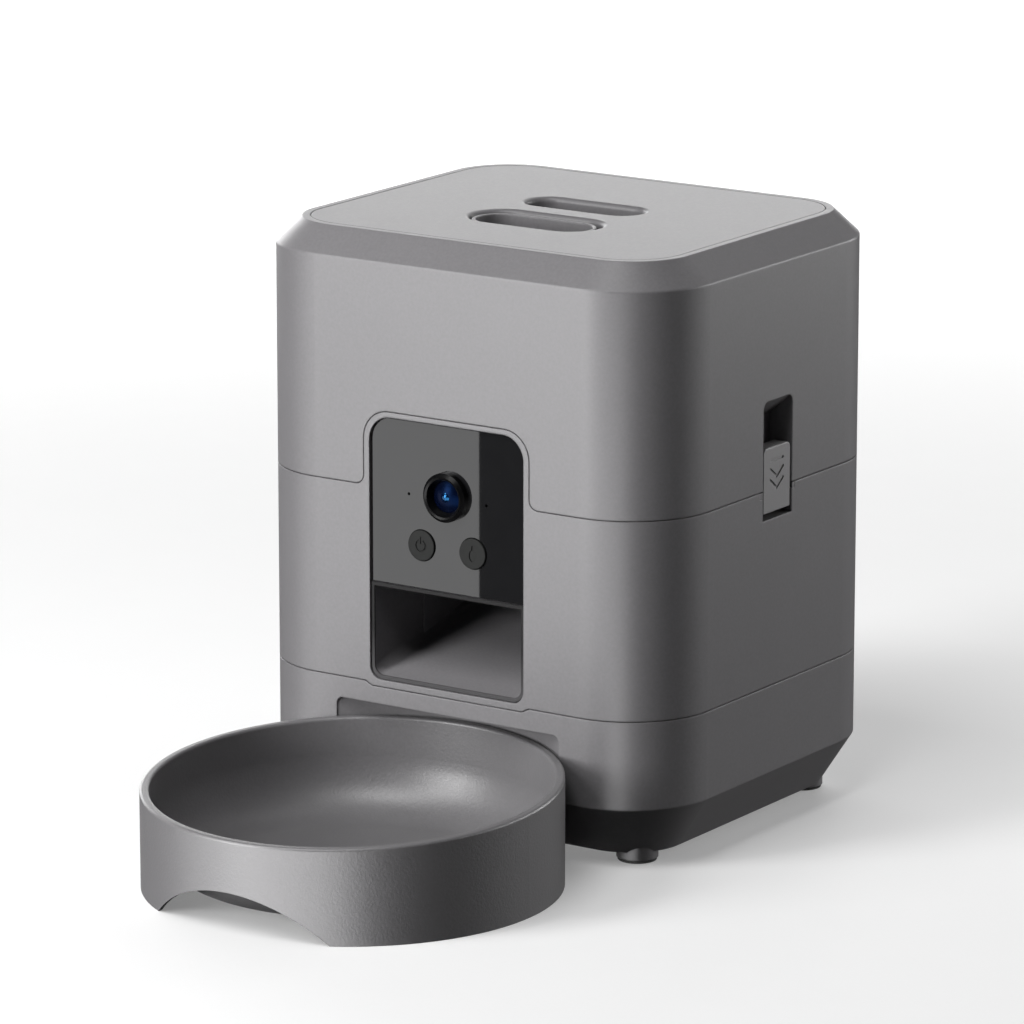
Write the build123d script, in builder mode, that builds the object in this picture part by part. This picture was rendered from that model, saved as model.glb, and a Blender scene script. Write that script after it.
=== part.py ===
from build123d import *
import os
from math import atan, cos, degrees, pi, radians, sin, sqrt, tan

# Automatic pet feeder, millimetres. +Z is up, the dispensing window faces -Y, X = 0 is the
# plane of symmetry, and the origin is the bottom centre of the whole object's box.

# ---- driving dimensions -------------------------------------------------------------
BODY_W = 237.5
BODY_D = 209.0
BODY_H = 290.0
BODY_BOTTOM_Z = 5.5
CORNER_R = 43.4
WALL = 3.0
GAP = 0.4

BOWL_R = 99.0
BOWL_H = 50.0
BOWL_AHEAD = 77.0
RIM_SLOPE = 0.05

LOW_EDGE_Z = 30.5
LOW_INSET = 15.8
TOP_EDGE_Z = 278.1
TOP_INSET = 12.6
SEAM_LOW_Z = 73.5
SEAM_HIGH_Z = 169.8
EDGE_SOFT = 1.2

TOTAL_D = BODY_D + BOWL_AHEAD + BOWL_R
BODY_Y = (TOTAL_D - BODY_D) / 2
FRONT_Y = BODY_Y - BODY_D / 2
BOWL_Y = FRONT_Y - BOWL_AHEAD
LOW_TAPER = degrees(atan(LOW_INSET / (LOW_EDGE_Z - BODY_BOTTOM_Z)))
TOP_TAPER = degrees(atan(TOP_INSET / (BODY_H - TOP_EDGE_Z)))

FOOT_INSET = 29.8
FOOT_X = BODY_W / 2 - FOOT_INSET
FOOT_Y = BODY_D / 2 - FOOT_INSET
FOOT_BOSS_R = 10.0
FOOT_BOSS_Z = 1.6
FOOT_R = 9.4

POCKET_R = BOWL_R + 1.5
POCKET_TOP_Z = 63.0
POCKET_HALF = 63.8

# window, tab and control panel
TAB_HALF = 47.0
TAB_TOP_Z = 206.4
TAB_R = 14.0
TAB_FOOT_R = 5.0
WINDOW_HALF = 44.0
WINDOW_LOW_Z = 75.0
WINDOW_TOP_Z = 204.0
WINDOW_TOP_R = 12.0
WINDOW_LOW_R = 6.5
SEAM_DIP = 2.0
DIP_HALF = 47.0
PANEL_LOW_Z = 123.2
PANEL_DEPTH = 1.5
PANEL_T = 2.5
PANEL_CLEAR = 0.8
CAMERA_Z = 169.5
CAMERA_R = 11.8
LENS_R = 7.6
BUTTON_X = 14.65
BUTTON_Z = 144.0
BUTTON_R = 7.5
BUTTON_PROUD = 1.0
GLYPH_DEPTH = 0.35
MIC_X = 22.1
MIC_Z = 168.1
MIC_R = 0.75

# latch pocket in each side
POCKET_W = 26.3
POCKET_LOW_Z = 155.3
SLOT_TOP_Z = 213.0
SLOT_DEEP_TOP_Z = 202.4
SLOT_DEPTH = 12.6
LATCH_W = 24.0
LATCH_LOW_Z = 158.3
LATCH_TOP_Z = 190.0

# lid
RIM_W = 3.7
LID_HALF_X = BODY_W / 2 - TOP_INSET - RIM_W
LID_HALF_Y = BODY_D / 2 - TOP_INSET - RIM_W
LID_R = CORNER_R - TOP_INSET - RIM_W
LID_T = 4.0
LEDGE_LOW_Z = 282.0
LEDGE_TOP_Z = 284.5
LEDGE_W = 6.4
GRIP_HALF = 35.0
GRIP_NEAR_Y = -44.0
GRIP_FAR_Y = -12.5
REAR_HALF = 32.0
REAR_NEAR_Y = 3.4
REAR_FAR_Y = 25.4
RECESS_DEPTH = 15.0
RELEASE_TRAVEL = 3.6

# dispensing train
ROTOR_YT = 14.0
ROTOR_Y = BODY_Y + ROTOR_YT
ROTOR_R = 55.5
DRUM_R = 58.0
DRUM_FLOOR_Z = 126.0
DRUM_TOP_Z = 161.0
EAR_ORBIT = DRUM_R + 6
FRAME_Z = 122.9
FUNNEL_TOP_Z = 231.0
MOUTH_R = 50.0
MOUTH_Z = 168.0
GEAR_MODULE = 1.0
PRESSURE_ANGLE = radians(20)
ADDENDUM = 0.9
DEDENDUM = 1.2
GEAR_TEETH = 36
PINION_TEETH = 12
GEAR_Z = 112.0
GEAR_W = 8.0
SHAFT_R = 4.0
MOTOR_SHAFT_R = 2.5
RUNNING = 0.05
BRACKET_Z = 106.0
BRACKET_T = 2.5
BRACKET_YT = 28.0
HANGER_X = 56.0
HANGER_Y = 58.0
BUSH_R = 6.0
CHUTE_HALF = 42.0
CHUTE_WALL = 1.8
CHUTE_TOP_Z = 120.8
CHUTE_LOW_Z = 77.0
CHUTE_SLOPE = 0.258
CHUTE_STEP = 41.0
CHUTE_DEPTH = 95.0
DROP_HALF = 20.0
DROP_NEAR_Y = -40.0
DROP_FAR_Y = -11.0


# ---- planes and shared shapes -------------------------------------------------------
def level(z, x=0, y=0):
    """Horizontal plane at height z, centred x, y from the tower's middle."""
    return Plane(origin=(x, BODY_Y + y, z))


def bowl_level(z):
    return Plane(origin=(0, BOWL_Y, z))


def front(depth=0, x=0):
    """Plane behind the tower's front: sketch X is across, Y is height, +normal points out."""
    return Plane(origin=(x, FRONT_Y + depth, 0), x_dir=(1, 0, 0), z_dir=(0, -1, 0))


def side(x, sign):
    """Plane at distance x on the side with this sign: sketch Y is height."""
    return Plane(origin=(sign * x, BODY_Y, 0), x_dir=(0, sign, 0), z_dir=(sign, 0, 0))


def is_chamfer_edge(edge):
    """True for the level edges where a chamfer meets the upright walls."""
    box = edge.bounding_box()
    flat = box.size.Z < 0.001
    return flat and min(abs(box.min.Z - LOW_EDGE_Z), abs(box.min.Z - TOP_EDGE_Z)) < 0.001


def tower_block(inset, low, high):
    """The tower's outer form drawn in by an inset, between two heights."""
    with BuildPart() as block:
        with BuildSketch(level(LOW_EDGE_Z)):
            RectangleRounded(BODY_W - 2 * inset, BODY_D - 2 * inset, CORNER_R - inset)
        extrude(amount=TOP_EDGE_Z - LOW_EDGE_Z)
        top = block.faces().sort_by(Axis.Z)[-1]
        extrude(top, amount=BODY_H - TOP_EDGE_Z, taper=TOP_TAPER)
        bottom = block.faces().sort_by(Axis.Z)[0]
        extrude(bottom, amount=LOW_EDGE_Z - BODY_BOTTOM_Z, taper=LOW_TAPER)
        if inset == 0:
            soft = [e for e in block.edges() if is_chamfer_edge(e)]
            fillet(soft, EDGE_SOFT)
        with BuildSketch(level(low)):
            Rectangle(2 * BODY_W, 2 * BODY_D)
        extrude(amount=high - low, mode=Mode.INTERSECT)
    return block.part


def tower_ring(outer, inner, low, high):
    """A level ring that follows the tower's wall between two insets."""
    with BuildPart() as ring:
        with BuildSketch(level(low)):
            RectangleRounded(BODY_W - 2 * outer, BODY_D - 2 * outer, CORNER_R - outer)
            RectangleRounded(BODY_W - 2 * inner, BODY_D - 2 * inner, CORNER_R - inner,
                             mode=Mode.SUBTRACT)
        extrude(amount=high - low)
    return ring.part


def window_sketch(plane, half, low, high, low_r, high_r):
    """An upright rounded rectangle with its own radius for the low and the high corners."""
    with BuildSketch(plane) as sketch:
        with Locations((0, (low + high) / 2)):
            Rectangle(2 * half, high - low)
        fillet(sketch.vertices().group_by(Axis.Y)[-1], high_r)
        fillet(sketch.vertices().group_by(Axis.Y)[0], low_r)
    return sketch.sketch


def tab_sketch(plane, grow):
    """The front tab with its concave feet on the seam, grown by a clearance."""
    with BuildSketch(plane) as sketch:
        half = TAB_HALF + grow
        seam = SEAM_HIGH_Z - GAP / 2 + grow
        with Locations((0, (TAB_TOP_Z + grow + seam - 30) / 2)):
            Rectangle(2 * half, TAB_TOP_Z + grow - seam + 30)
        fillet(sketch.vertices().group_by(Axis.Y)[-1], TAB_R + grow)
        with Locations((0, seam - 15)):
            Rectangle(2 * half + 24, 30)
        on_seam = [v for v in sketch.vertices() if abs(v.Y - seam) < 0.01]
        feet = [v for v in on_seam if abs(abs(v.X) - half) < 0.01]
        fillet(feet, TAB_FOOT_R - grow)
    return sketch.sketch


def gear_blank(teeth, bore_r, width, plane, turn, backlash=0.12):
    """Spur gear with involute flanks, one tooth centred on `turn` degrees."""
    pitch_r = GEAR_MODULE * teeth / 2
    base_r = pitch_r * cos(PRESSURE_ANGLE)
    tip_r = pitch_r + ADDENDUM * GEAR_MODULE
    root_r = pitch_r - DEDENDUM * GEAR_MODULE
    involute = tan(PRESSURE_ANGLE) - PRESSURE_ANGLE
    half_pitch = (pi / 2) / teeth - backlash / pitch_r / 2 + involute
    start_r = max(base_r, root_r)
    flank = []
    for step in range(5):
        r = start_r + (tip_r - start_r) * step / 4
        roll = sqrt(max((r / base_r) ** 2 - 1, 0))
        flank.append((r, half_pitch - (roll - atan(roll))))
    points = []
    for tooth in range(teeth):
        middle = radians(turn) + 2 * pi * tooth / teeth
        side_a = [(root_r, half_pitch)] + flank
        for r, a in side_a:
            points.append((r * cos(middle - a), r * sin(middle - a)))
        for r, a in reversed(side_a):
            points.append((r * cos(middle + a), r * sin(middle + a)))
    with BuildPart() as gear:
        with BuildSketch(plane):
            Polygon(*points, align=None)
            Circle(bore_r, mode=Mode.SUBTRACT)
        extrude(amount=width)
    return gear.part


def screw_group(name, places, head_r, head_h, shank_r, length, up=True):
    """Separate identical screws: heads first, shanks along +Z, or along -Z when not up."""
    way = 1 if up else -1
    with BuildPart() as screws:
        for x, y, z in places:
            with BuildSketch(level(z, x, y)):
                Circle(head_r)
            extrude(amount=way * head_h)
            with BuildSketch(level(z, x, y)):
                Rectangle(head_r * 1.2, 0.8)
                Rectangle(0.8, head_r * 1.2)
            extrude(amount=way * head_h * 0.5, mode=Mode.SUBTRACT)
            with BuildSketch(level(z + way * head_h, x, y)):
                Circle(shank_r)
            extrude(amount=way * (length - head_h))
    finish(screws.part, name)


def finish(part, name):
    """Label one finished piece and write its STEP file."""
    part.label = name
    export_step(part, f"parts/{name}.step")


os.makedirs("parts", exist_ok=True)

# ---- base -----------------------------------------------------------------------------
SCREW_X = 90.0
SCREW_YT = 32.0
BATTERY_W = 104.0
BATTERY_D = 66.0
BATTERY_YT = 40.0
COVER_T = 3.0
CELL_PITCH = 34.5
SPEAKER_X = -55.0
SPEAKER_Z = 50.0
INLET_X = 55.0
INLET_Z = 48.0

with BuildPart() as bowl_pocket:
    with BuildSketch(bowl_level(-1)):
        Circle(POCKET_R)
    extrude(amount=POCKET_TOP_Z + 1)
    mouth = window_sketch(front(-2 * BODY_D), POCKET_HALF, -40, POCKET_TOP_Z, 3.5, 3.5)
    extrude(mouth, amount=-3 * BODY_D, mode=Mode.INTERSECT)

with BuildPart() as base_cavity:
    add(tower_block(WALL, BODY_BOTTOM_Z, SEAM_LOW_Z))
    with BuildSketch(bowl_level(0)):
        Circle(POCKET_R + WALL)
    extrude(amount=POCKET_TOP_Z + WALL, mode=Mode.SUBTRACT)
    for x in (-SCREW_X, SCREW_X):
        for y in (-SCREW_YT, SCREW_YT):
            with BuildSketch(level(BODY_BOTTOM_Z + COVER_T, x, y)):
                Circle(4.5)
                with Locations((7 if x > 0 else -7, 0)):
                    Rectangle(14, 3)
            extrude(amount=16, mode=Mode.SUBTRACT)

with BuildPart() as seam_dip:
    with BuildSketch(front()):
        with BuildLine():
            Polyline((-DIP_HALF, SEAM_LOW_Z + 1), (-DIP_HALF, SEAM_LOW_Z - GAP / 2),
                     (-DIP_HALF + 4, SEAM_LOW_Z - GAP / 2 - SEAM_DIP),
                     (DIP_HALF - 4, SEAM_LOW_Z - GAP / 2 - SEAM_DIP),
                     (DIP_HALF, SEAM_LOW_Z - GAP / 2), (DIP_HALF, SEAM_LOW_Z + 1), close=True)
        make_face()
    extrude(amount=-WALL - 0.3)

with BuildPart() as base_shell:
    add(tower_block(0, BODY_BOTTOM_Z, SEAM_LOW_Z - GAP / 2))
    for x in (-FOOT_X, FOOT_X):
        for y in (-FOOT_Y, FOOT_Y):
            with BuildSketch(level(FOOT_BOSS_Z, x, y)):
                Circle(FOOT_BOSS_R)
            extrude(amount=LOW_EDGE_Z - FOOT_BOSS_Z)
    add(base_cavity.part, mode=Mode.SUBTRACT)
    add(bowl_pocket.part, mode=Mode.SUBTRACT)
    add(seam_dip.part, mode=Mode.SUBTRACT)
    for x in (-SCREW_X, SCREW_X):
        for y in (-SCREW_YT, SCREW_YT):
            with BuildSketch(level(BODY_BOTTOM_Z + COVER_T, x, y)):
                Circle(1.5)
            extrude(amount=12, mode=Mode.SUBTRACT)
    for x in (-FOOT_X, FOOT_X):
        for y in (-FOOT_Y, FOOT_Y):
            with BuildSketch(level(FOOT_BOSS_Z, x, y)):
                Circle(FOOT_R + 0.2)
            extrude(amount=0.8, mode=Mode.SUBTRACT)
    with BuildSketch(front(BODY_D + 1)):
        for row in range(-2, 3):
            with Locations((SPEAKER_X, SPEAKER_Z + 5 * row)):
                SlotOverall(24, 2)
        with Locations((INLET_X, INLET_Z)):
            SlotOverall(10, 4.4)
    extrude(amount=WALL + 2, mode=Mode.SUBTRACT)
finish(base_shell.part, "base_shell")

with BuildPart() as bottom_cover:
    add(tower_block(WALL + 0.3, BODY_BOTTOM_Z, BODY_BOTTOM_Z + COVER_T))
    with BuildSketch(bowl_level(0)):
        Circle(POCKET_R + WALL + 0.3)
    extrude(amount=20, mode=Mode.SUBTRACT)
    with BuildSketch(level(0, 0, BATTERY_YT)):
        RectangleRounded(BATTERY_W + 0.6, BATTERY_D + 0.6, 5)
    extrude(amount=20, mode=Mode.SUBTRACT)
    for x in (-SCREW_X, SCREW_X):
        for y in (-SCREW_YT, SCREW_YT):
            with BuildSketch(level(BODY_BOTTOM_Z, x, y)):
                Circle(3.2)
            extrude(amount=1.6, mode=Mode.SUBTRACT)
            with BuildSketch(level(BODY_BOTTOM_Z, x, y)):
                Circle(1.7)
            extrude(amount=10, mode=Mode.SUBTRACT)
finish(bottom_cover.part, "bottom_cover")

screw_places = [(x, y, BODY_BOTTOM_Z + 0.1) for x in (-SCREW_X, SCREW_X) for y in (-SCREW_YT, SCREW_YT)]
screw_group("base_screws", screw_places, 3.0, 1.5, 1.4, 12)

with BuildPart() as battery_door:
    with BuildSketch(level(BODY_BOTTOM_Z, 0, BATTERY_YT)):
        RectangleRounded(BATTERY_W, BATTERY_D, 4.7)
    extrude(amount=COVER_T - 0.4)
    with BuildSketch(level(BODY_BOTTOM_Z, 0, BATTERY_YT)):
        with GridLocations(0, 3.5, 1, 6):
            SlotOverall(28, 1.6)
    extrude(amount=0.8, mode=Mode.SUBTRACT)
finish(battery_door.part, "battery_door")

with BuildPart() as rubber_feet:
    for x in (-FOOT_X, FOOT_X):
        for y in (-FOOT_Y, FOOT_Y):
            with BuildSketch(level(0, x, y)):
                Circle(FOOT_R)
            extrude(amount=FOOT_BOSS_Z + 0.8)
    fillet(rubber_feet.edges().group_by(Axis.Z)[0], 0.5)
finish(rubber_feet.part, "rubber_feet")

BOX_Z = BODY_BOTTOM_Z + COVER_T + 0.2
BOX_TOP_Z = 46.0
BOARD_POST_X = 84.0
BOARD_POST_Y = 50.0
BOARD_POST_H = 4.0
with BuildPart() as battery_box:
    with BuildSketch(level(BOX_Z, 0, BATTERY_YT)):
        RectangleRounded(BATTERY_W + 6, BATTERY_D + 6, 5)
    extrude(amount=BOX_TOP_Z - BOX_Z)
    with BuildSketch(level(BOX_Z, 0, BATTERY_YT)):
        Rectangle(BATTERY_W - 0.4, BATTERY_D)
    extrude(amount=BOX_TOP_Z - BOX_Z - 2, mode=Mode.SUBTRACT)
    with BuildSketch(level(BOX_TOP_Z, 0, BATTERY_YT)):
        with GridLocations(BOARD_POST_X, BOARD_POST_Y, 2, 2):
            Circle(3.5)
    extrude(amount=BOARD_POST_H)
finish(battery_box.part, "battery_box")

with BuildPart() as battery_contacts:
    for x in (-CELL_PITCH, 0, CELL_PITCH):
        for y in (-BATTERY_D / 2 + 0.6, BATTERY_D / 2 - 0.6):
            with BuildSketch(level(18, x, BATTERY_YT + y)):
                Rectangle(14, 0.8)
            extrude(amount=16)
finish(battery_contacts.part, "battery_contacts")

BOARD_Z = BOX_TOP_Z + BOARD_POST_H
with BuildPart() as main_board:
    with BuildSketch(level(BOARD_Z, 0, BATTERY_YT)):
        Rectangle(94, 60)
    extrude(amount=1.6)
finish(main_board.part, "main_board")

with BuildPart() as board_components:
    with BuildSketch(level(BOARD_Z + 1.6, 0, BATTERY_YT)):
        with Locations((-12, 4)):
            Rectangle(16, 16)
        with Locations((20, -10)):
            Rectangle(10, 8)
    extrude(amount=1.4)
    with BuildSketch(level(BOARD_Z + 1.6, 0, BATTERY_YT)):
        with Locations((34, 18), (34, 4)):
            Circle(4)
    extrude(amount=11)
    with BuildSketch(level(BOARD_Z + 1.6, 0, BATTERY_YT)):
        with Locations((-40, -18), (-40, 0), (-40, 18)):
            Rectangle(6, 12)
    extrude(amount=6)
finish(board_components.part, "board_components")

with BuildPart() as speaker:
    with BuildSketch(front(BODY_D - WALL - 0.2)):
        with Locations((SPEAKER_X, SPEAKER_Z)):
            Circle(19)
    extrude(amount=3)
    with BuildSketch(front(BODY_D - WALL - 3.2)):
        with Locations((SPEAKER_X, SPEAKER_Z)):
            Circle(10)
    extrude(amount=7)
finish(speaker.part, "speaker")

with BuildPart() as power_inlet:
    with BuildSketch(front(BODY_D - 1.2)):
        with Locations((INLET_X, INLET_Z)):
            SlotOverall(9.6, 4.0)
    extrude(amount=10)
    with BuildSketch(front(BODY_D - 1.2)):
        with Locations((INLET_X, INLET_Z)):
            SlotOverall(8.6, 3.0)
            Rectangle(6.6, 0.8, mode=Mode.SUBTRACT)
    extrude(amount=7, mode=Mode.SUBTRACT)
    with BuildSketch(front(BODY_D - WALL - 0.3)):
        with Locations((INLET_X, INLET_Z - 2.6)):
            Rectangle(16, 1.6)
    extrude(amount=14)
finish(power_inlet.part, "power_inlet")

# ---- middle housing -------------------------------------------------------------------
LIP = 3.0
LIP_T = 1.6
LIP_INSET = WALL + 0.3
FLANGE_DEPTH = PANEL_DEPTH + PANEL_T
FLANGE_T = 2.0
LINER = 2.0
SLOT_BACK_X = BODY_W / 2 - SLOT_DEPTH
LINER_SPAN = BODY_W / 2 - 1 - SLOT_BACK_X + LINER
LINER_MID_X = BODY_W / 2 - 1 - LINER_SPAN / 2
GUIDE_SLOT_Z = (157.0, 167.6)
GUIDE_SLOT_HALF = 5.0
SHELF_Z = 152.0
MID_LOW_Z = SEAM_LOW_Z + GAP / 2
MID_TOP_Z = SEAM_HIGH_Z - GAP / 2


def pocket_prism(sign, grow, low):
    """The finger pocket above and around a side latch, grown outwards by a wall."""
    back = SLOT_BACK_X - grow
    with BuildPart() as prism:
        with BuildSketch(Plane(origin=(0, BODY_Y + POCKET_W / 2 + grow, 0), x_dir=(sign, 0, 0),
                               z_dir=(0, -sign, 0))):
            with BuildLine():
                Polyline((back, low), (BODY_W / 2 + 1, low), (BODY_W / 2 + 1, SLOT_TOP_Z + grow + 0.84),
                         (BODY_W / 2, SLOT_TOP_Z + grow), (back, SLOT_DEEP_TOP_Z + grow), close=True)
            make_face()
        extrude(amount=sign * (POCKET_W + 2 * grow))
        outline = window_sketch(side(SLOT_BACK_X - 10, sign), POCKET_W / 2 + grow, low - 1,
                                SLOT_TOP_Z + grow, 0.2, 4.5)
        extrude(outline, amount=40, mode=Mode.INTERSECT)
    return prism.part


with BuildPart() as mid_housing:
    add(tower_block(0, MID_LOW_Z, MID_TOP_Z))
    extrude(tab_sketch(front(), 0), amount=-WALL)
    add(tower_block(WALL, MID_LOW_Z - 1, MID_TOP_Z + 1), mode=Mode.SUBTRACT)
    with BuildSketch(front()):
        with BuildLine():
            Polyline((-DIP_HALF + GAP, MID_LOW_Z), (-DIP_HALF + 4, MID_LOW_Z - SEAM_DIP),
                     (DIP_HALF - 4, MID_LOW_Z - SEAM_DIP), (DIP_HALF - GAP, MID_LOW_Z), close=True)
        make_face()
    extrude(amount=-WALL)
    add(tower_ring(LIP_INSET, LIP_INSET + LIP_T, MID_LOW_Z - LIP, MID_LOW_Z + LIP))
    add(tower_ring(WALL, LIP_INSET + LIP_T, MID_LOW_Z + 0.2, MID_LOW_Z + LIP))
    add(tower_ring(LIP_INSET, LIP_INSET + LIP_T, MID_TOP_Z - LIP, MID_TOP_Z + LIP))
    add(tower_ring(WALL, LIP_INSET + LIP_T, MID_TOP_Z - LIP, MID_TOP_Z - 0.2))
    add(tower_ring(WALL, WALL + 6, FRAME_Z - 2.5, FRAME_Z))
    # shelf, rebate and window that carry the control panel
    with BuildSketch(front(WALL)):
        with Locations((0, (PANEL_LOW_Z - 4 + TAB_TOP_Z) / 2)):
            RectangleRounded(2 * TAB_HALF, TAB_TOP_Z - PANEL_LOW_Z + 4, 3)
    extrude(amount=-FLANGE_DEPTH - FLANGE_T + WALL)
    window = window_sketch(front(-5), WINDOW_HALF, WINDOW_LOW_Z, WINDOW_TOP_Z, WINDOW_LOW_R, WINDOW_TOP_R)
    extrude(window, amount=-5 - FLANGE_DEPTH, mode=Mode.SUBTRACT)
    opening = window_sketch(front(), WINDOW_HALF - 4, PANEL_LOW_Z, WINDOW_TOP_Z - 4, 2, 8)
    extrude(opening, amount=-20, mode=Mode.SUBTRACT)
    throat = window_sketch(front(), WINDOW_HALF, WINDOW_LOW_Z, PANEL_LOW_Z, WINDOW_LOW_R, 0.2)
    extrude(throat, amount=-20, mode=Mode.SUBTRACT)
    for sign in (-1, 1):
        with BuildSketch(level(SHELF_Z, sign * LINER_MID_X)):
            Rectangle(LINER_SPAN, POCKET_W + 2 * LINER)
        extrude(amount=MID_TOP_Z - 3.2 - SHELF_Z)
        with BuildSketch(level(SHELF_Z, sign * (SLOT_BACK_X - LINER - 3))):
            Rectangle(6, POCKET_W + 2 * LINER)
        extrude(amount=2)
        with BuildSketch(level(MID_TOP_Z - 3.2, sign * (BODY_W / 2 - 5))):
            Rectangle(9.9, POCKET_W + 2 * LINER + 1)
        extrude(amount=10, mode=Mode.SUBTRACT)
        with BuildSketch(level(POCKET_LOW_Z, sign * (SLOT_BACK_X + 10))):
            Rectangle(20, POCKET_W)
        extrude(amount=30, mode=Mode.SUBTRACT)
        with BuildSketch(side(SLOT_BACK_X + 2, sign)):
            with Locations((0, (GUIDE_SLOT_Z[0] + GUIDE_SLOT_Z[1]) / 2)):
                Rectangle(2 * GUIDE_SLOT_HALF, GUIDE_SLOT_Z[1] - GUIDE_SLOT_Z[0])
        extrude(amount=-LINER - 4, mode=Mode.SUBTRACT)
finish(mid_housing.part, "mid_housing")


def chute_form(grow, end):
    """The sloping duct behind the window; grow adds its wall."""
    bottom_r = 5.0 + grow
    start = 1.0
    with BuildPart() as duct:
        low = CHUTE_LOW_Z - grow
        high = CHUTE_TOP_Z + grow
        near = window_sketch(front(start), CHUTE_HALF + grow, low, high, bottom_r, 0.6)
        far = window_sketch(front(end), CHUTE_HALF + grow, low + CHUTE_SLOPE * (end - start), high,
                            bottom_r, 0.6)
        loft([near, far])
    return duct.part


with BuildPart() as chute:
    add(chute_form(CHUTE_WALL, CHUTE_DEPTH))
    add(chute_form(0, CHUTE_DEPTH - CHUTE_WALL), mode=Mode.SUBTRACT)
    for sign in (-1, 1):
        with BuildSketch(side(CHUTE_HALF - 1.4, sign)):
            with BuildLine():
                Polyline((sign * (-BODY_D / 2 + CHUTE_STEP), CHUTE_TOP_Z),
                         (sign * (-BODY_D / 2 + CHUTE_STEP), CHUTE_LOW_Z + CHUTE_SLOPE * CHUTE_STEP),
                         (sign * (-BODY_D / 2 + CHUTE_DEPTH - 1),
                          CHUTE_LOW_Z + CHUTE_SLOPE * (CHUTE_DEPTH - 1)),
                         (sign * (-BODY_D / 2 + CHUTE_DEPTH - 1), CHUTE_TOP_Z), close=True)
            make_face()
        extrude(amount=1.6)
    with BuildSketch(level(CHUTE_TOP_Z - 0.5, 0, (DROP_NEAR_Y + DROP_FAR_Y) / 2)):
        Rectangle(2 * DROP_HALF + 4, DROP_FAR_Y - DROP_NEAR_Y + 4)
    extrude(amount=10, mode=Mode.SUBTRACT)
finish(chute.part, "chute")

with BuildPart() as inner_frame:
    add(tower_block(WALL + 0.4, FRAME_Z, FRAME_Z + 3))
    with BuildSketch(level(FRAME_Z, 0, -BODY_D / 2 + 15)):
        Rectangle(150, 40)
    extrude(amount=5, mode=Mode.SUBTRACT)
    with BuildSketch(level(FRAME_Z, 0, (DROP_NEAR_Y + DROP_FAR_Y) / 2)):
        Rectangle(2 * DROP_HALF + 4, DROP_FAR_Y - DROP_NEAR_Y + 4)
    extrude(amount=5, mode=Mode.SUBTRACT)
    with BuildSketch(level(FRAME_Z, 0, ROTOR_YT)):
        Circle(BUSH_R + RUNNING)
    extrude(amount=5, mode=Mode.SUBTRACT)
    with BuildSketch(level(BRACKET_Z + BRACKET_T, 0, BRACKET_YT)):
        with GridLocations(HANGER_X, HANGER_Y, 2, 2):
            Circle(3.5)
    extrude(amount=FRAME_Z - BRACKET_Z - BRACKET_T)
finish(inner_frame.part, "inner_frame")

with BuildPart() as rotor_housing:
    with BuildSketch(level(DRUM_FLOOR_Z, 0, ROTOR_YT)):
        Circle(DRUM_R + 3)
    extrude(amount=DRUM_TOP_Z - DRUM_FLOOR_Z)
    with BuildSketch(level(DRUM_FLOOR_Z, 0, ROTOR_YT)):
        with PolarLocations(EAR_ORBIT, 4, 45):
            Circle(5)
    extrude(amount=4)
    with BuildSketch(level(DRUM_FLOOR_Z + 3, 0, ROTOR_YT)):
        Circle(DRUM_R)
    extrude(amount=60, mode=Mode.SUBTRACT)
    with BuildSketch(level(CHUTE_TOP_Z - 0.2, 0, (DROP_NEAR_Y + DROP_FAR_Y) / 2)):
        Rectangle(2 * DROP_HALF + 3, DROP_FAR_Y - DROP_NEAR_Y + 3)
    extrude(amount=DRUM_FLOOR_Z - CHUTE_TOP_Z + 0.2)
    with BuildSketch(level(CHUTE_TOP_Z - 0.2, 0, (DROP_NEAR_Y + DROP_FAR_Y) / 2)):
        Rectangle(2 * DROP_HALF, DROP_FAR_Y - DROP_NEAR_Y)
    extrude(amount=20, mode=Mode.SUBTRACT)
    with BuildSketch(level(DRUM_FLOOR_Z - 1, 0, ROTOR_YT)):
        Circle(BUSH_R + RUNNING)
        with PolarLocations(EAR_ORBIT, 4, 45):
            Circle(1.6)
    extrude(amount=10, mode=Mode.SUBTRACT)
finish(rotor_housing.part, "rotor_housing")

ear = EAR_ORBIT * sin(radians(45))
ear_places = [(x, ROTOR_YT + y, DRUM_FLOOR_Z + 6) for x in (-ear, ear) for y in (-ear, ear)]
screw_group("rotor_housing_screws", ear_places, 3.0, 2.0, 1.5, 6.0, up=False)

with BuildPart() as shaft_bushes:
    for z, height in ((DRUM_FLOOR_Z - 3, 6.0), (BRACKET_Z, 5.0)):
        with BuildSketch(level(z, 0, ROTOR_YT)):
            Circle(BUSH_R)
            Circle(SHAFT_R + RUNNING, mode=Mode.SUBTRACT)
        extrude(amount=height)
finish(shaft_bushes.part, "shaft_bushes")

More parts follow.
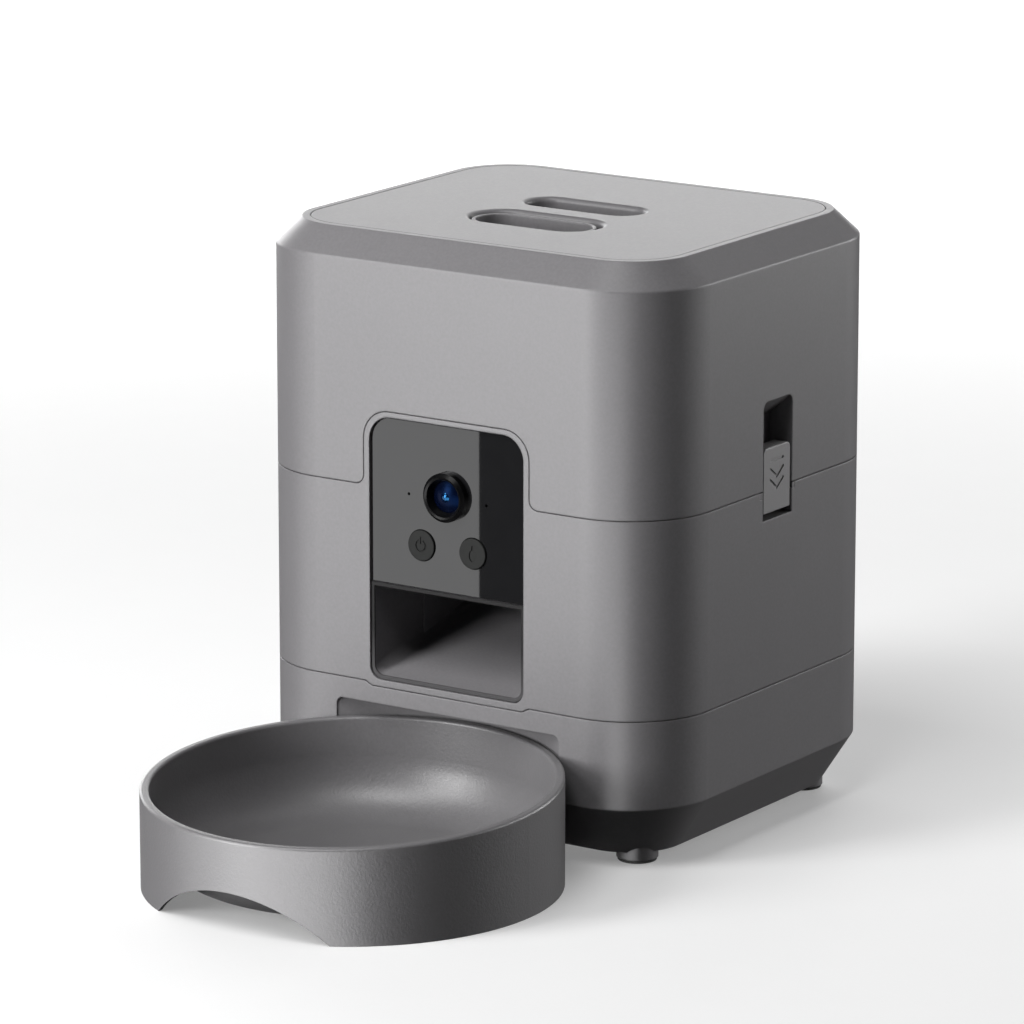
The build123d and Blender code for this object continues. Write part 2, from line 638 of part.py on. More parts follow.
ROTOR_LOW_Z = DRUM_FLOOR_Z + 4.2
ROTOR_TOP_Z = 156.5
HUB_R = 13.0
VANE_T = 3.0
VANES = 6
PEG_ORBIT = 20.0
PEG_BASE_Z = ROTOR_TOP_Z - 6
SHAFT_IN_HUB = 22.0
with BuildPart() as rotor:
    with BuildSketch(level(ROTOR_LOW_Z, 0, ROTOR_YT)):
        Circle(HUB_R)
        with PolarLocations(0, VANES):
            with Locations((ROTOR_R / 2, 0)):
                Rectangle(ROTOR_R, VANE_T)
    extrude(amount=ROTOR_TOP_Z - ROTOR_LOW_Z)
    with BuildSketch(level(ROTOR_TOP_Z, 0, ROTOR_YT)):
        Circle(HUB_R)
    extrude(amount=8, taper=35)
    with BuildSketch(level(PEG_BASE_Z, 0, ROTOR_YT)):
        with PolarLocations(PEG_ORBIT, 3):
            Circle(3)
    extrude(amount=30)
    with BuildSketch(level(PEG_BASE_Z, 0, ROTOR_YT)):
        with PolarLocations(0, 3):
            with Locations((11, 0)):
                Rectangle(18, 4)
    extrude(amount=8)
    with BuildSketch(level(ROTOR_LOW_Z, 0, ROTOR_YT)):
        Circle(SHAFT_R)
    extrude(amount=SHAFT_IN_HUB, mode=Mode.SUBTRACT)
finish(rotor.part, "rotor")

with BuildPart() as rotor_shaft:
    with BuildSketch(level(BRACKET_Z + 0.5, 0, ROTOR_YT)):
        Circle(SHAFT_R)
    extrude(amount=ROTOR_LOW_Z + SHAFT_IN_HUB - BRACKET_Z - 0.5)
finish(rotor_shaft.part, "rotor_shaft")

gear = gear_blank(GEAR_TEETH, SHAFT_R, GEAR_W, level(GEAR_Z, 0, ROTOR_YT), 90)
finish(gear, "drive_gear")
PINION_YT = ROTOR_YT + GEAR_MODULE * (GEAR_TEETH + PINION_TEETH) / 2
pinion = gear_blank(PINION_TEETH, MOTOR_SHAFT_R, GEAR_W + 1, level(GEAR_Z - 0.5, 0, PINION_YT),
                    -90 + 180 / PINION_TEETH)
finish(pinion, "motor_pinion")

GEARBOX_LOW_Z = 82.0
MOTOR_LOW_Z = 64.0
MOTOR_CAP_Z = 60.0
with BuildPart() as motor_shaft:
    with BuildSketch(level(BRACKET_Z - 8, 0, PINION_YT)):
        Circle(MOTOR_SHAFT_R)
    extrude(amount=22)
finish(motor_shaft.part, "motor_shaft")

with BuildPart() as gear_motor:
    with BuildSketch(level(GEARBOX_LOW_Z, 0, PINION_YT)):
        Circle(18.5)
    extrude(amount=BRACKET_Z - GEARBOX_LOW_Z)
    with BuildSketch(level(MOTOR_LOW_Z, 0, PINION_YT)):
        Circle(13.5)
    extrude(amount=GEARBOX_LOW_Z - MOTOR_LOW_Z)
    with BuildSketch(level(MOTOR_CAP_Z, 0, PINION_YT)):
        Circle(5)
    extrude(amount=MOTOR_LOW_Z - MOTOR_CAP_Z)
    with BuildSketch(level(BRACKET_Z - 8.2, 0, PINION_YT)):
        Circle(MOTOR_SHAFT_R + RUNNING)
    extrude(amount=10, mode=Mode.SUBTRACT)
finish(gear_motor.part, "gear_motor")

with BuildPart() as motor_bracket:
    with BuildSketch(level(BRACKET_Z, 0, BRACKET_YT)):
        RectangleRounded(HANGER_X + 10, HANGER_Y + 10, 5)
    extrude(amount=BRACKET_T)
    with BuildSketch(level(BRACKET_Z, 0, 0)):
        with Locations((0, ROTOR_YT)):
            Circle(BUSH_R + RUNNING)
        with Locations((0, PINION_YT)):
            Circle(4)
    extrude(amount=5, mode=Mode.SUBTRACT)
finish(motor_bracket.part, "motor_bracket")

# ---- control panel --------------------------------------------------------------------
BOARD_DEPTH = 11.0
with BuildPart() as control_panel:
    face = window_sketch(front(PANEL_DEPTH), WINDOW_HALF - PANEL_CLEAR, PANEL_LOW_Z,
                         WINDOW_TOP_Z - PANEL_CLEAR, 0.5, WINDOW_TOP_R - PANEL_CLEAR)
    extrude(face, amount=-PANEL_T)
    with BuildSketch(front()):
        with Locations((0, CAMERA_Z)):
            Circle(CAMERA_R - 0.8)
        with Locations((-BUTTON_X, BUTTON_Z), (BUTTON_X, BUTTON_Z)):
            Circle(BUTTON_R + 0.3)
        with Locations((-MIC_X, MIC_Z), (MIC_X, MIC_Z)):
            Circle(MIC_R)
    extrude(amount=-20, mode=Mode.SUBTRACT)
finish(control_panel.part, "control_panel")

with BuildPart() as control_board:
    with BuildSketch(front(BOARD_DEPTH)):
        with Locations((0, 164)):
            Rectangle(74, 72)
        with Locations((0, CAMERA_Z)):
            Circle(CAMERA_R + 0.4, mode=Mode.SUBTRACT)
    extrude(amount=-1.6)
finish(control_board.part, "control_board")

with BuildPart() as camera_ring:
    with BuildSketch(Plane.YZ):
        with BuildLine():
            Polyline((0.8, LENS_R), (4.2, LENS_R + 1.6), (4.6, CAMERA_R - 1.6), (3.2, CAMERA_R),
                     (0.0, CAMERA_R), (0.0, CAMERA_R - 1.0), (-6.0, CAMERA_R - 1.0), (-6.0, LENS_R),
                     close=True)
        make_face()
    revolve(axis=Axis.Y)


def aimed(piece):
    """Turn a piece revolved about +Y to look forwards, on the camera's axis."""
    turned = piece.rotate(Axis.Z, 180)
    return turned.moved(Location((0, FRONT_Y + PANEL_DEPTH, CAMERA_Z)))


finish(aimed(camera_ring.part), "camera_ring")

with BuildPart() as camera_lens:
    with BuildSketch(Plane.YZ):
        with BuildLine():
            ThreePointArc((2.3, 0), (1.9, (LENS_R - 0.8) / 2), (0.5, LENS_R - 0.1))
            Polyline((0.5, LENS_R - 0.1), (-0.6, LENS_R - 0.1), (-0.6, 0), (2.3, 0))
        make_face()
    revolve(axis=Axis.Y)
finish(aimed(camera_lens.part), "camera_lens")

with BuildPart() as camera_module:
    with BuildSketch(front(PANEL_DEPTH + 8)):
        with Locations((0, CAMERA_Z)):
            Circle(LENS_R - 0.3)
    extrude(amount=-8)
    with BuildSketch(front(PANEL_DEPTH + 1.6)):
        with Locations((0, CAMERA_Z)):
            Circle(LENS_R - 0.4)
            Circle(LENS_R - 2.6, mode=Mode.SUBTRACT)
    extrude(amount=-6.4)
    with BuildSketch(front(PANEL_DEPTH + 16)):
        with Locations((0, CAMERA_Z)):
            Rectangle(24, 24)
    extrude(amount=-1.6)
finish(camera_module.part, "camera_module")

def push_button(x, glyph):
    """A round button proud of the panel, with its stem, retaining rim and sunk glyph."""
    with BuildPart() as button:
        with BuildSketch(front(PANEL_DEPTH + PANEL_T, x)):
            with Locations((0, BUTTON_Z)):
                Circle(BUTTON_R)
        extrude(amount=PANEL_T + BUTTON_PROUD)
        fillet(button.edges().filter_by(GeomType.CIRCLE).sort_by(Axis.Y)[0], 0.5)
        with BuildSketch(front(PANEL_DEPTH + PANEL_T + 0.2, x)):
            with Locations((0, BUTTON_Z)):
                Circle(BUTTON_R + 1.2)
        extrude(amount=-1.2)
        with BuildSketch(front(PANEL_DEPTH + PANEL_T, x)):
            with Locations((0, BUTTON_Z)):
                Circle(2)
        extrude(amount=-4.5)
        extrude(glyph, amount=-GLYPH_DEPTH, mode=Mode.SUBTRACT)
    return button.part


with BuildSketch(front(PANEL_DEPTH - BUTTON_PROUD, -BUTTON_X)) as power_glyph:
    with Locations((0, BUTTON_Z)):
        Circle(3.0)
        Circle(2.3, mode=Mode.SUBTRACT)
        with Locations((0, 3)):
            Rectangle(2.4, 3, mode=Mode.SUBTRACT)
        with Locations((0, 2.6)):
            Rectangle(0.7, 3.4)
with BuildSketch(front(PANEL_DEPTH - BUTTON_PROUD, BUTTON_X)) as kibble_glyph:
    with Locations((0, BUTTON_Z - 1.0)):
        Ellipse(1.7, 2.8)
    with Locations((0, BUTTON_Z + 2.6)):
        Rectangle(0.6, 2.6)
finish(push_button(-BUTTON_X, power_glyph.sketch), "power_button")
finish(push_button(BUTTON_X, kibble_glyph.sketch), "feed_button")

with BuildPart() as tact_switches:
    for x in (-BUTTON_X, BUTTON_X):
        with BuildSketch(front(BOARD_DEPTH, x)):
            with Locations((0, BUTTON_Z)):
                Rectangle(6, 6)
        extrude(amount=1.6)
finish(tact_switches.part, "tact_switches")

with BuildPart() as microphones:
    for x in (-MIC_X, MIC_X):
        with BuildSketch(front(PANEL_DEPTH + PANEL_T + 0.1, x)):
            with Locations((0, MIC_Z)):
                Circle(3)
        extrude(amount=-6.5)
finish(microphones.part, "microphones")

# ---- hopper ---------------------------------------------------------------------------
HOPPER_LOW_Z = SEAM_HIGH_Z + GAP / 2
with BuildPart() as hopper_shell:
    add(tower_block(0, HOPPER_LOW_Z, BODY_H))
    add(tower_block(WALL, HOPPER_LOW_Z - 1, LEDGE_LOW_Z), mode=Mode.SUBTRACT)
    with BuildSketch(level(LEDGE_LOW_Z - 1)):
        RectangleRounded(2 * (LID_HALF_X - LEDGE_W), 2 * (LID_HALF_Y - LEDGE_W), LID_R - LEDGE_W)
    extrude(amount=10, mode=Mode.SUBTRACT)
    with BuildSketch(level(LEDGE_TOP_Z)):
        RectangleRounded(2 * LID_HALF_X, 2 * LID_HALF_Y, LID_R)
    extrude(amount=10, mode=Mode.SUBTRACT)
    extrude(tab_sketch(front(-1), GAP), amount=-WALL - 2, mode=Mode.SUBTRACT)
    add(tower_ring(WALL - 0.5, WALL + 1.8, FUNNEL_TOP_Z - 5.5, FUNNEL_TOP_Z - 3))
    for sign in (-1, 1):
        with BuildSketch(level(HOPPER_LOW_Z, sign * LINER_MID_X)):
            Rectangle(LINER_SPAN, POCKET_W + 2 * LINER)
        extrude(amount=SLOT_TOP_Z + 2 - HOPPER_LOW_Z)
        add(pocket_prism(sign, 0, HOPPER_LOW_Z - 1), mode=Mode.SUBTRACT)
    with BuildSketch(level(LEDGE_LOW_Z - 1, 0, -BODY_D / 2 + 17)):
        Rectangle(22, 16)
    extrude(amount=LEDGE_TOP_Z - LEDGE_LOW_Z + 1, mode=Mode.SUBTRACT)
finish(hopper_shell.part, "hopper_shell")

with BuildPart() as hopper_funnel:
    inset = WALL + 0.5
    for wall, mode in ((0, Mode.ADD), (2.0, Mode.SUBTRACT)):
        with BuildSketch(level(FUNNEL_TOP_Z)):
            RectangleRounded(BODY_W - 2 * inset - 2 * wall, BODY_D - 2 * inset - 2 * wall,
                             CORNER_R - inset - wall)
        with BuildSketch(level(MOUTH_Z, 0, ROTOR_YT)):
            RectangleRounded(2 * (MOUTH_R + 2 - wall) + 0.4, 2 * (MOUTH_R + 2 - wall) + 0.4,
                             MOUTH_R + 2 - wall)
        loft(mode=mode)
    with BuildSketch(level(FUNNEL_TOP_Z - 3)):
        RectangleRounded(BODY_W - 2 * inset, BODY_D - 2 * inset, CORNER_R - inset)
        RectangleRounded(BODY_W - 2 * inset - 12, BODY_D - 2 * inset - 12, CORNER_R - inset - 6,
                         mode=Mode.SUBTRACT)
    extrude(amount=3)
    with BuildSketch(level(ROTOR_TOP_Z + 3, 0, ROTOR_YT)):
        Circle(MOUTH_R + 1.8)
        Circle(MOUTH_R - 0.2, mode=Mode.SUBTRACT)
    extrude(amount=MOUTH_Z - ROTOR_TOP_Z - 2.6)
    with BuildSketch(level(ROTOR_TOP_Z + 3, 0, ROTOR_YT)):
        Circle(MOUTH_R)
        with Locations((0, 0)):
            Circle(27, mode=Mode.SUBTRACT)
        with Locations((0, MOUTH_R - 27)):
            Rectangle(2 * MOUTH_R + 2, 2 * MOUTH_R, mode=Mode.SUBTRACT)
    extrude(amount=2)
finish(hopper_funnel.part, "hopper_funnel")

# ---- side latches ---------------------------------------------------------------------
LATCH_OUT_X = BODY_W / 2 - 0.4
LATCH_IN_X = BODY_W / 2 - 8.0
LATCH_RIB_Z = 164.0
LATCH_RIB_H = 6.4
MARK_DEPTH = 0.6
SPRING_X = SLOT_BACK_X - LINER - 3.4


def make_latch(sign):
    """A sliding release latch with its guide rib, foot and sunk chevrons."""
    with BuildPart() as latch:
        plate = window_sketch(side(LATCH_IN_X, sign), LATCH_W / 2, LATCH_LOW_Z, LATCH_TOP_Z, 0.6, 3.0)
        extrude(plate, amount=LATCH_OUT_X - LATCH_IN_X)
        soft = latch.faces().sort_by(Axis.X)[-1 if sign > 0 else 0].edges()
        fillet(soft, 0.5)
        with BuildSketch(side(LATCH_IN_X, sign)):
            with Locations((0, LATCH_RIB_Z)):
                Rectangle(2 * GUIDE_SLOT_HALF - 0.8, LATCH_RIB_H)
        extrude(amount=-(LATCH_IN_X - SLOT_BACK_X + LINER + 0.4))
        with BuildSketch(side(SLOT_BACK_X - LINER - 0.4, sign)):
            with Locations((0, LATCH_RIB_Z)):
                Rectangle(18, LATCH_RIB_H)
        extrude(amount=-5.6)
        with BuildSketch(side(LATCH_OUT_X, sign)):
            for height in (176.5, 171.0):
                with BuildLine():
                    Polyline((-6, height + 3), (0, height - 1.5), (6, height + 3))
                trace(line_width=1.3)
        extrude(amount=-MARK_DEPTH, mode=Mode.SUBTRACT)
        with BuildSketch(side(LATCH_OUT_X, sign)):
            with Locations((0, 183.5)):
                SlotOverall(12, 1.4)
        extrude(amount=-MARK_DEPTH, mode=Mode.SUBTRACT)
    return latch.part


def coil_spring(start, direction, length, radius, wire, turns):
    """A compression spring whose wire stays inside this length from its start."""
    height = length - 2 * wire
    middle = Vector(*start) + Vector(*direction) * wire
    with BuildPart() as spring:
        with BuildLine() as path:
            Helix(pitch=height / turns, height=height, radius=radius, center=middle, direction=direction)
        with BuildSketch(path.line ^ 0):
            Circle(wire)
        sweep(path=path.line)
    return spring.part


for sign, name in ((-1, "left"), (1, "right")):
    finish(make_latch(sign), f"latch_{name}")
    seat = (sign * SPRING_X, BODY_Y, SHELF_Z + 2.1)
    spring = coil_spring(seat, (0, 0, 1), 6.6, 2.0, 0.35, 4)
    finish(spring, f"latch_spring_{name}")

# ---- lid ------------------------------------------------------------------------------
LID_LOW_Z = BODY_H - LID_T
GRIP_W = GRIP_FAR_Y - GRIP_NEAR_Y
GRIP_YT = (GRIP_FAR_Y + GRIP_NEAR_Y) / 2
REAR_W = REAR_FAR_Y - REAR_NEAR_Y
REAR_YT = (REAR_FAR_Y + REAR_NEAR_Y) / 2
LINER_LOW_Z = 267.0
LID_CLEAR = 0.4
SLOT_SOFT = 2.4
LINER_POST_X = 150.0
LINER_POST_Y = 120.0
DESICCANT_YT = 52.0
TONGUE_Z = 278.0

with BuildPart() as lid:
    with BuildSketch(level(LID_LOW_Z)):
        RectangleRounded(2 * (LID_HALF_X - LID_CLEAR), 2 * (LID_HALF_Y - LID_CLEAR), LID_R - LID_CLEAR)
    extrude(amount=LID_T)
    fillet(lid.faces().sort_by(Axis.Z)[-1].edges(), 0.4)
    with BuildSketch(level(BODY_H - RECESS_DEPTH - 2, 0, REAR_YT)):
        SlotOverall(2 * REAR_HALF + 4, REAR_W + 4)
    extrude(amount=RECESS_DEPTH)
    with BuildSketch(level(BODY_H - RECESS_DEPTH, 0, REAR_YT)):
        SlotOverall(2 * REAR_HALF, REAR_W)
    extrude(amount=30, mode=Mode.SUBTRACT)
    with BuildSketch(level(LID_LOW_Z - 4, 0, GRIP_YT)):
        SlotOverall(2 * GRIP_HALF + 3.6, GRIP_W + 3.6)
    extrude(amount=4.5)
    with BuildSketch(level(LID_LOW_Z - 5, 0, GRIP_YT)):
        SlotOverall(2 * GRIP_HALF, GRIP_W)
    extrude(amount=30, mode=Mode.SUBTRACT)
    top_edges = lid.edges().group_by(Axis.Z)[-1]
    slots = [e for e in top_edges if abs(e.center().X) < 60 and abs(e.center().Y - BODY_Y) < 60]
    fillet(slots, SLOT_SOFT)
finish(lid.part, "lid")

with BuildPart() as lid_liner:
    liner_x = LID_HALF_X - LEDGE_W - 3
    liner_y = LID_HALF_Y - LEDGE_W - 3
    with BuildSketch(level(LINER_LOW_Z)):
        RectangleRounded(2 * liner_x, 2 * liner_y, LID_R - LEDGE_W - 3)
    extrude(amount=LID_LOW_Z - LINER_LOW_Z)
    with BuildSketch(level(LINER_LOW_Z + 2)):
        RectangleRounded(2 * liner_x - 4, 2 * liner_y - 4, LID_R - LEDGE_W - 5)
    extrude(amount=30, mode=Mode.SUBTRACT)
    with BuildSketch(level(LINER_LOW_Z + 1)):
        with GridLocations(LINER_POST_X, LINER_POST_Y, 2, 2):
            Circle(4)
    extrude(amount=LID_LOW_Z - LINER_LOW_Z - 1)
    with BuildSketch(level(LINER_LOW_Z - 1)):
        with GridLocations(LINER_POST_X, LINER_POST_Y, 2, 2):
            Circle(1.6)
        with Locations((0, DESICCANT_YT)):
            Circle(21)
    extrude(amount=13, mode=Mode.SUBTRACT)
    with BuildSketch(level(LINER_LOW_Z, 0, DESICCANT_YT)):
        Circle(24)
        Circle(22, mode=Mode.SUBTRACT)
    extrude(amount=LID_LOW_Z - LINER_LOW_Z)
    with BuildSketch(front(BODY_D / 2 - liner_y - 1)):
        with Locations((0, TONGUE_Z + 1.5)):
            Rectangle(18, 5)
    extrude(amount=-5, mode=Mode.SUBTRACT)
finish(lid_liner.part, "lid_liner")
half_x, half_y = LINER_POST_X / 2, LINER_POST_Y / 2
lid_places = [(x, y, LINER_LOW_Z - 1.2) for x in (-half_x, half_x) for y in (-half_y, half_y)]
screw_group("lid_screws", lid_places, 3.2, 1.2, 1.5, 12)

with BuildPart() as lid_seal:
    with BuildSketch(level(LEDGE_TOP_Z + 0.3)):
        RectangleRounded(2 * (LID_HALF_X - 1.5), 2 * (LID_HALF_Y - 1.5), LID_R - 1.5)
        RectangleRounded(2 * (LID_HALF_X - 5), 2 * (LID_HALF_Y - 5), LID_R - 5, mode=Mode.SUBTRACT)
    extrude(amount=LID_LOW_Z - LEDGE_TOP_Z - 0.3)
finish(lid_seal.part, "lid_seal")

CUP_L = 2 * GRIP_HALF - 4
CUP_W = GRIP_W - RELEASE_TRAVEL - 0.8
CUP_YT = GRIP_NEAR_Y + 0.4 + CUP_W / 2
CUP_TOP_Z = BODY_H - 1.0
CUP_NEAR_YT = CUP_YT - CUP_W / 2
TONGUE_TIP_YT = 17.5 - BODY_D / 2
with BuildPart() as lid_release:
    with BuildSketch(level(BODY_H - RECESS_DEPTH - 1.8, 0, CUP_YT)):
        SlotOverall(CUP_L, CUP_W)
    extrude(amount=CUP_TOP_Z - BODY_H + RECESS_DEPTH + 1.8)
    with BuildSketch(level(BODY_H - RECESS_DEPTH, 0, CUP_YT)):
        SlotOverall(CUP_L - 3.6, CUP_W - 3.6)
    extrude(amount=30, mode=Mode.SUBTRACT)
    fillet(lid_release.edges().group_by(Axis.Z)[-1], 0.5)
    with BuildSketch(level(TONGUE_Z, 0, (CUP_NEAR_YT + TONGUE_TIP_YT + 0.8) / 2)):
        Rectangle(14, CUP_NEAR_YT - TONGUE_TIP_YT + 0.8)
    extrude(amount=3)
finish(lid_release.part, "lid_release")

SPRING_NEAR_YT = CUP_YT + CUP_W / 2 + 0.1
SPRING_FAR_YT = REAR_NEAR_Y - 2 - 0.1
springs = [coil_spring((x, BODY_Y + SPRING_NEAR_YT, TONGUE_Z), (0, 1, 0), SPRING_FAR_YT - SPRING_NEAR_YT,
                       1.5, 0.3, 7) for x in (-15, 15)]
finish(Part() + springs, "release_springs")

with BuildPart() as desiccant_cap:
    with BuildSketch(level(LINER_LOW_Z, 0, DESICCANT_YT)):
        Circle(20.8)
        with PolarLocations(0, 12):
            with Locations((12.5, 0)):
                SlotOverall(8, 2)
    extrude(amount=2)
    with BuildSketch(level(LINER_LOW_Z, 0, DESICCANT_YT)):
        Rectangle(16, 3)
    extrude(amount=-3)
    with BuildSketch(level(LINER_LOW_Z, 0, DESICCANT_YT)):
        with PolarLocations(12.5, 12):
            SlotOverall(8, 2)
    extrude(amount=5, mode=Mode.SUBTRACT)
finish(desiccant_cap.part, "desiccant_cap")

# ---- bowl -----------------------------------------------------------------------------
RIM_T = 4.5
DISH_FLAT_R = 68.0
DISH_FLOOR_Z = 8.0
DISH_T = 2.8
SKIRT_T = 2.6
ARCH_TOP_Z = 20.2
ARCH_R = 68.0
INNER_R = BOWL_R - RIM_T
BEND_R = INNER_R - DISH_FLAT_R
BLANK_H = 80.0
with BuildPart() as food_bowl:
    with BuildSketch(bowl_level(0)):
        Circle(BOWL_R)
    extrude(amount=BLANK_H)
    with BuildSketch(Plane.XZ.offset(-BOWL_Y)):
        with BuildLine():
            Line((0, BLANK_H), (0, DISH_FLOOR_Z))
            Line((0, DISH_FLOOR_Z), (DISH_FLAT_R, DISH_FLOOR_Z))
            CenterArc((DISH_FLAT_R, DISH_FLOOR_Z + BEND_R), BEND_R, -90, 90)
            Line((INNER_R, DISH_FLOOR_Z + BEND_R), (INNER_R, BLANK_H))
            Line((INNER_R, BLANK_H), (0, BLANK_H))
        make_face()
    revolve(axis=Axis((0, BOWL_Y, 0), (0, 0, 1)), mode=Mode.SUBTRACT)
    under_r = BOWL_R - SKIRT_T
    under_bend = BEND_R + DISH_T
    rise = DISH_FLOOR_Z + BEND_R - sqrt(under_bend ** 2 - (under_r - DISH_FLAT_R) ** 2)
    mid_x = DISH_FLAT_R + under_bend * 0.5
    mid_z = DISH_FLOOR_Z + BEND_R - under_bend * sqrt(0.75)
    with BuildSketch(Plane.XZ.offset(-BOWL_Y)):
        with BuildLine():
            Line((0, 0), (0, DISH_FLOOR_Z - DISH_T))
            Line((0, DISH_FLOOR_Z - DISH_T), (DISH_FLAT_R, DISH_FLOOR_Z - DISH_T))
            ThreePointArc((DISH_FLAT_R, DISH_FLOOR_Z - DISH_T), (mid_x, mid_z), (under_r, rise))
            Line((under_r, rise), (under_r, 0))
            Line((under_r, 0), (0, 0))
        make_face()
    revolve(axis=Axis((0, BOWL_Y, 0), (0, 0, 1)), mode=Mode.SUBTRACT)
    slope = degrees(atan(RIM_SLOPE))
    rim_plane = Plane(origin=(0, BOWL_Y, BOWL_H)).rotated((slope, 0, 0))
    with BuildSketch(rim_plane):
        Rectangle(300, 300)
    extrude(amount=60, mode=Mode.SUBTRACT)
    fillet(food_bowl.faces().sort_by(Axis.Z)[-1].edges(), 1.3)

with BuildPart() as finger_arch:
    with BuildSketch(bowl_level(-1)):
        Circle(BOWL_R + 3)
        Circle(under_r - 2.2, mode=Mode.SUBTRACT)
    extrude(amount=BOWL_H)
    with BuildSketch(Plane.XZ.offset(-BOWL_Y)) as arch:
        with Locations((0, ARCH_TOP_Z - ARCH_R)):
            Circle(ARCH_R)
    extrude(arch.sketch, amount=BOWL_R + 10, mode=Mode.INTERSECT)
finish(food_bowl.part - finger_arch.part, "food_bowl")
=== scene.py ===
import math

import bmesh
import bpy
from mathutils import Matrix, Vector


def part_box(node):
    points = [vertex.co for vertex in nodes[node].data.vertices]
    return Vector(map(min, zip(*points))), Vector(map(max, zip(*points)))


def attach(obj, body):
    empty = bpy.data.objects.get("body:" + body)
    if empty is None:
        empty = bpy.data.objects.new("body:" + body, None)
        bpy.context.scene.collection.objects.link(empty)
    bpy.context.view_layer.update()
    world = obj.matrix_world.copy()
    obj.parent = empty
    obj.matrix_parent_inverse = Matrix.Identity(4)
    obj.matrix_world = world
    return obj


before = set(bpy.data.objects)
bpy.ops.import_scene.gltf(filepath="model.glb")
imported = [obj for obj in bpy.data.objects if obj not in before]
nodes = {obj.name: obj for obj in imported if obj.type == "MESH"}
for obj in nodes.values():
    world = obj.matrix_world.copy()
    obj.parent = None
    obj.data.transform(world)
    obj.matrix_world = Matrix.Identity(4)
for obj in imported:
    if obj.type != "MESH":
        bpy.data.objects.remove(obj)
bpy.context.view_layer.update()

scene = bpy.context.scene

# ---------------------------------------------------------------- camera
CAMERA_AZIMUTH = math.radians(33.965)   # 0 looks along +Y, positive turns towards +X
CAMERA_ELEVATION = math.radians(13.638)
CAMERA_DISTANCE = 3.0154
CAMERA_TARGET = Vector((-0.01446, 0.06079, 0.1450))
CAMERA_LENS = 219.73     # millimetres, on a sensor 36 mm wide
CAMERA_SENSOR = 36.0
CAMERA_CLIP_END = 60.0


def direction(azimuth, elevation):
    """Unit vector from the object towards an azimuth, 0 on -Y and 90 degrees on +X."""
    return Vector((
        math.sin(azimuth) * math.cos(elevation),
        -math.cos(azimuth) * math.cos(elevation),
        math.sin(elevation),
    ))


def aim(obj, target):
    """Turns a camera or light so that its -Z axis points at target."""
    obj.rotation_euler = (target - obj.location).to_track_quat("-Z", "Y").to_euler()


camera_data = bpy.data.cameras.new("camera")
camera_data.lens = CAMERA_LENS
camera_data.sensor_width = CAMERA_SENSOR
camera_data.clip_end = CAMERA_CLIP_END
camera = bpy.data.objects.new("camera", camera_data)
scene.collection.objects.link(camera)
camera.location = CAMERA_TARGET + CAMERA_DISTANCE * direction(CAMERA_AZIMUTH, CAMERA_ELEVATION)
aim(camera, CAMERA_TARGET)
scene.camera = camera
scene.view_settings.view_transform = "Standard"


# ---------------------------------------------------------------- materials
MM = 0.001
MIDDLE_LOW = 0.3          # a noise texture's values lie mostly between these two
MIDDLE_HIGH = 0.7
MOTTLE_SCALE = 650.0      # noise scales are in patches per metre: a patch of about 1.5 mm here
CLOUD_SCALE = 22.0        # and of about 45 mm here
ROUGH_VARIATION = 0.04    # how much a moulded surface's roughness varies either way
WAVE_SCALE = 60.0
DUST_SCALE = 1800.0
TINGE_SCALE = 90.0
TINGE_DARKEST = 0.9
SCRATCH_SCALE = 900.0
SCRATCH_STRETCH = 0.08    # scratches run along Y, about twelve times as long as they are wide
SCRATCH_DEPTH = 0.002     # millimetres
SCRATCH_DARKEST = 0.85
SCRATCH_SMOOTHEST = -0.06
SCRATCH_ROUGHEST = 0.08
BEVEL_SAMPLES = 4
LIP_SHADE_LEVEL_LOW = 0.4       # how much of its colour the lip's painted shade leaves at its foot and higher up
LIP_SHADE_LEVEL_HIGH = 0.07
LIP_SHADE_FADE = 1.5            # the painted shade has gone at this many times the lip's depth


def new_material(name):
    """A new material, its node tree and its Principled shader."""
    material = bpy.data.materials.new(name)
    material.use_nodes = True
    tree = material.node_tree
    shader = tree.nodes["Principled BSDF"]
    return material, tree, shader


def object_coordinates(tree):
    """The place on the object, in metres."""
    return tree.nodes.new("ShaderNodeTexCoord").outputs["Object"]


def noise(tree, vector, scale, detail=2.0, roughness=0.5):
    """A noise texture's factor, with scale patches to the metre."""
    node = tree.nodes.new("ShaderNodeTexNoise")
    node.inputs["Scale"].default_value = scale
    node.inputs["Detail"].default_value = detail
    node.inputs["Roughness"].default_value = roughness
    tree.links.new(vector, node.inputs["Vector"])
    return node.outputs["Fac"]


def scaled(colour, factor):
    """The colour with each channel multiplied by factor."""
    return tuple(channel * factor for channel in colour)


def ramp(tree, factor, low, high):
    """Maps a factor's middle range onto the colours low to high."""
    node = tree.nodes.new("ShaderNodeValToRGB")
    node.color_ramp.elements[0].position = MIDDLE_LOW
    node.color_ramp.elements[1].position = MIDDLE_HIGH
    node.color_ramp.elements[0].color = (*low, 1.0)
    node.color_ramp.elements[1].color = (*high, 1.0)
    tree.links.new(factor, node.inputs["Fac"])
    return node.outputs["Color"]


def map_range(tree, value, from_range, to_range):
    """Maps a value linearly from one range onto another, and clamps it there."""
    node = tree.nodes.new("ShaderNodeMapRange")
    node.inputs["From Min"].default_value, node.inputs["From Max"].default_value = from_range
    node.inputs["To Min"].default_value, node.inputs["To Max"].default_value = to_range
    tree.links.new(value, node.inputs["Value"])
    return node.outputs["Result"]


def spread(tree, factor, low, high):
    """Maps a factor's middle range onto the values low to high."""
    return map_range(tree, factor, (MIDDLE_LOW, MIDDLE_HIGH), (low, high))


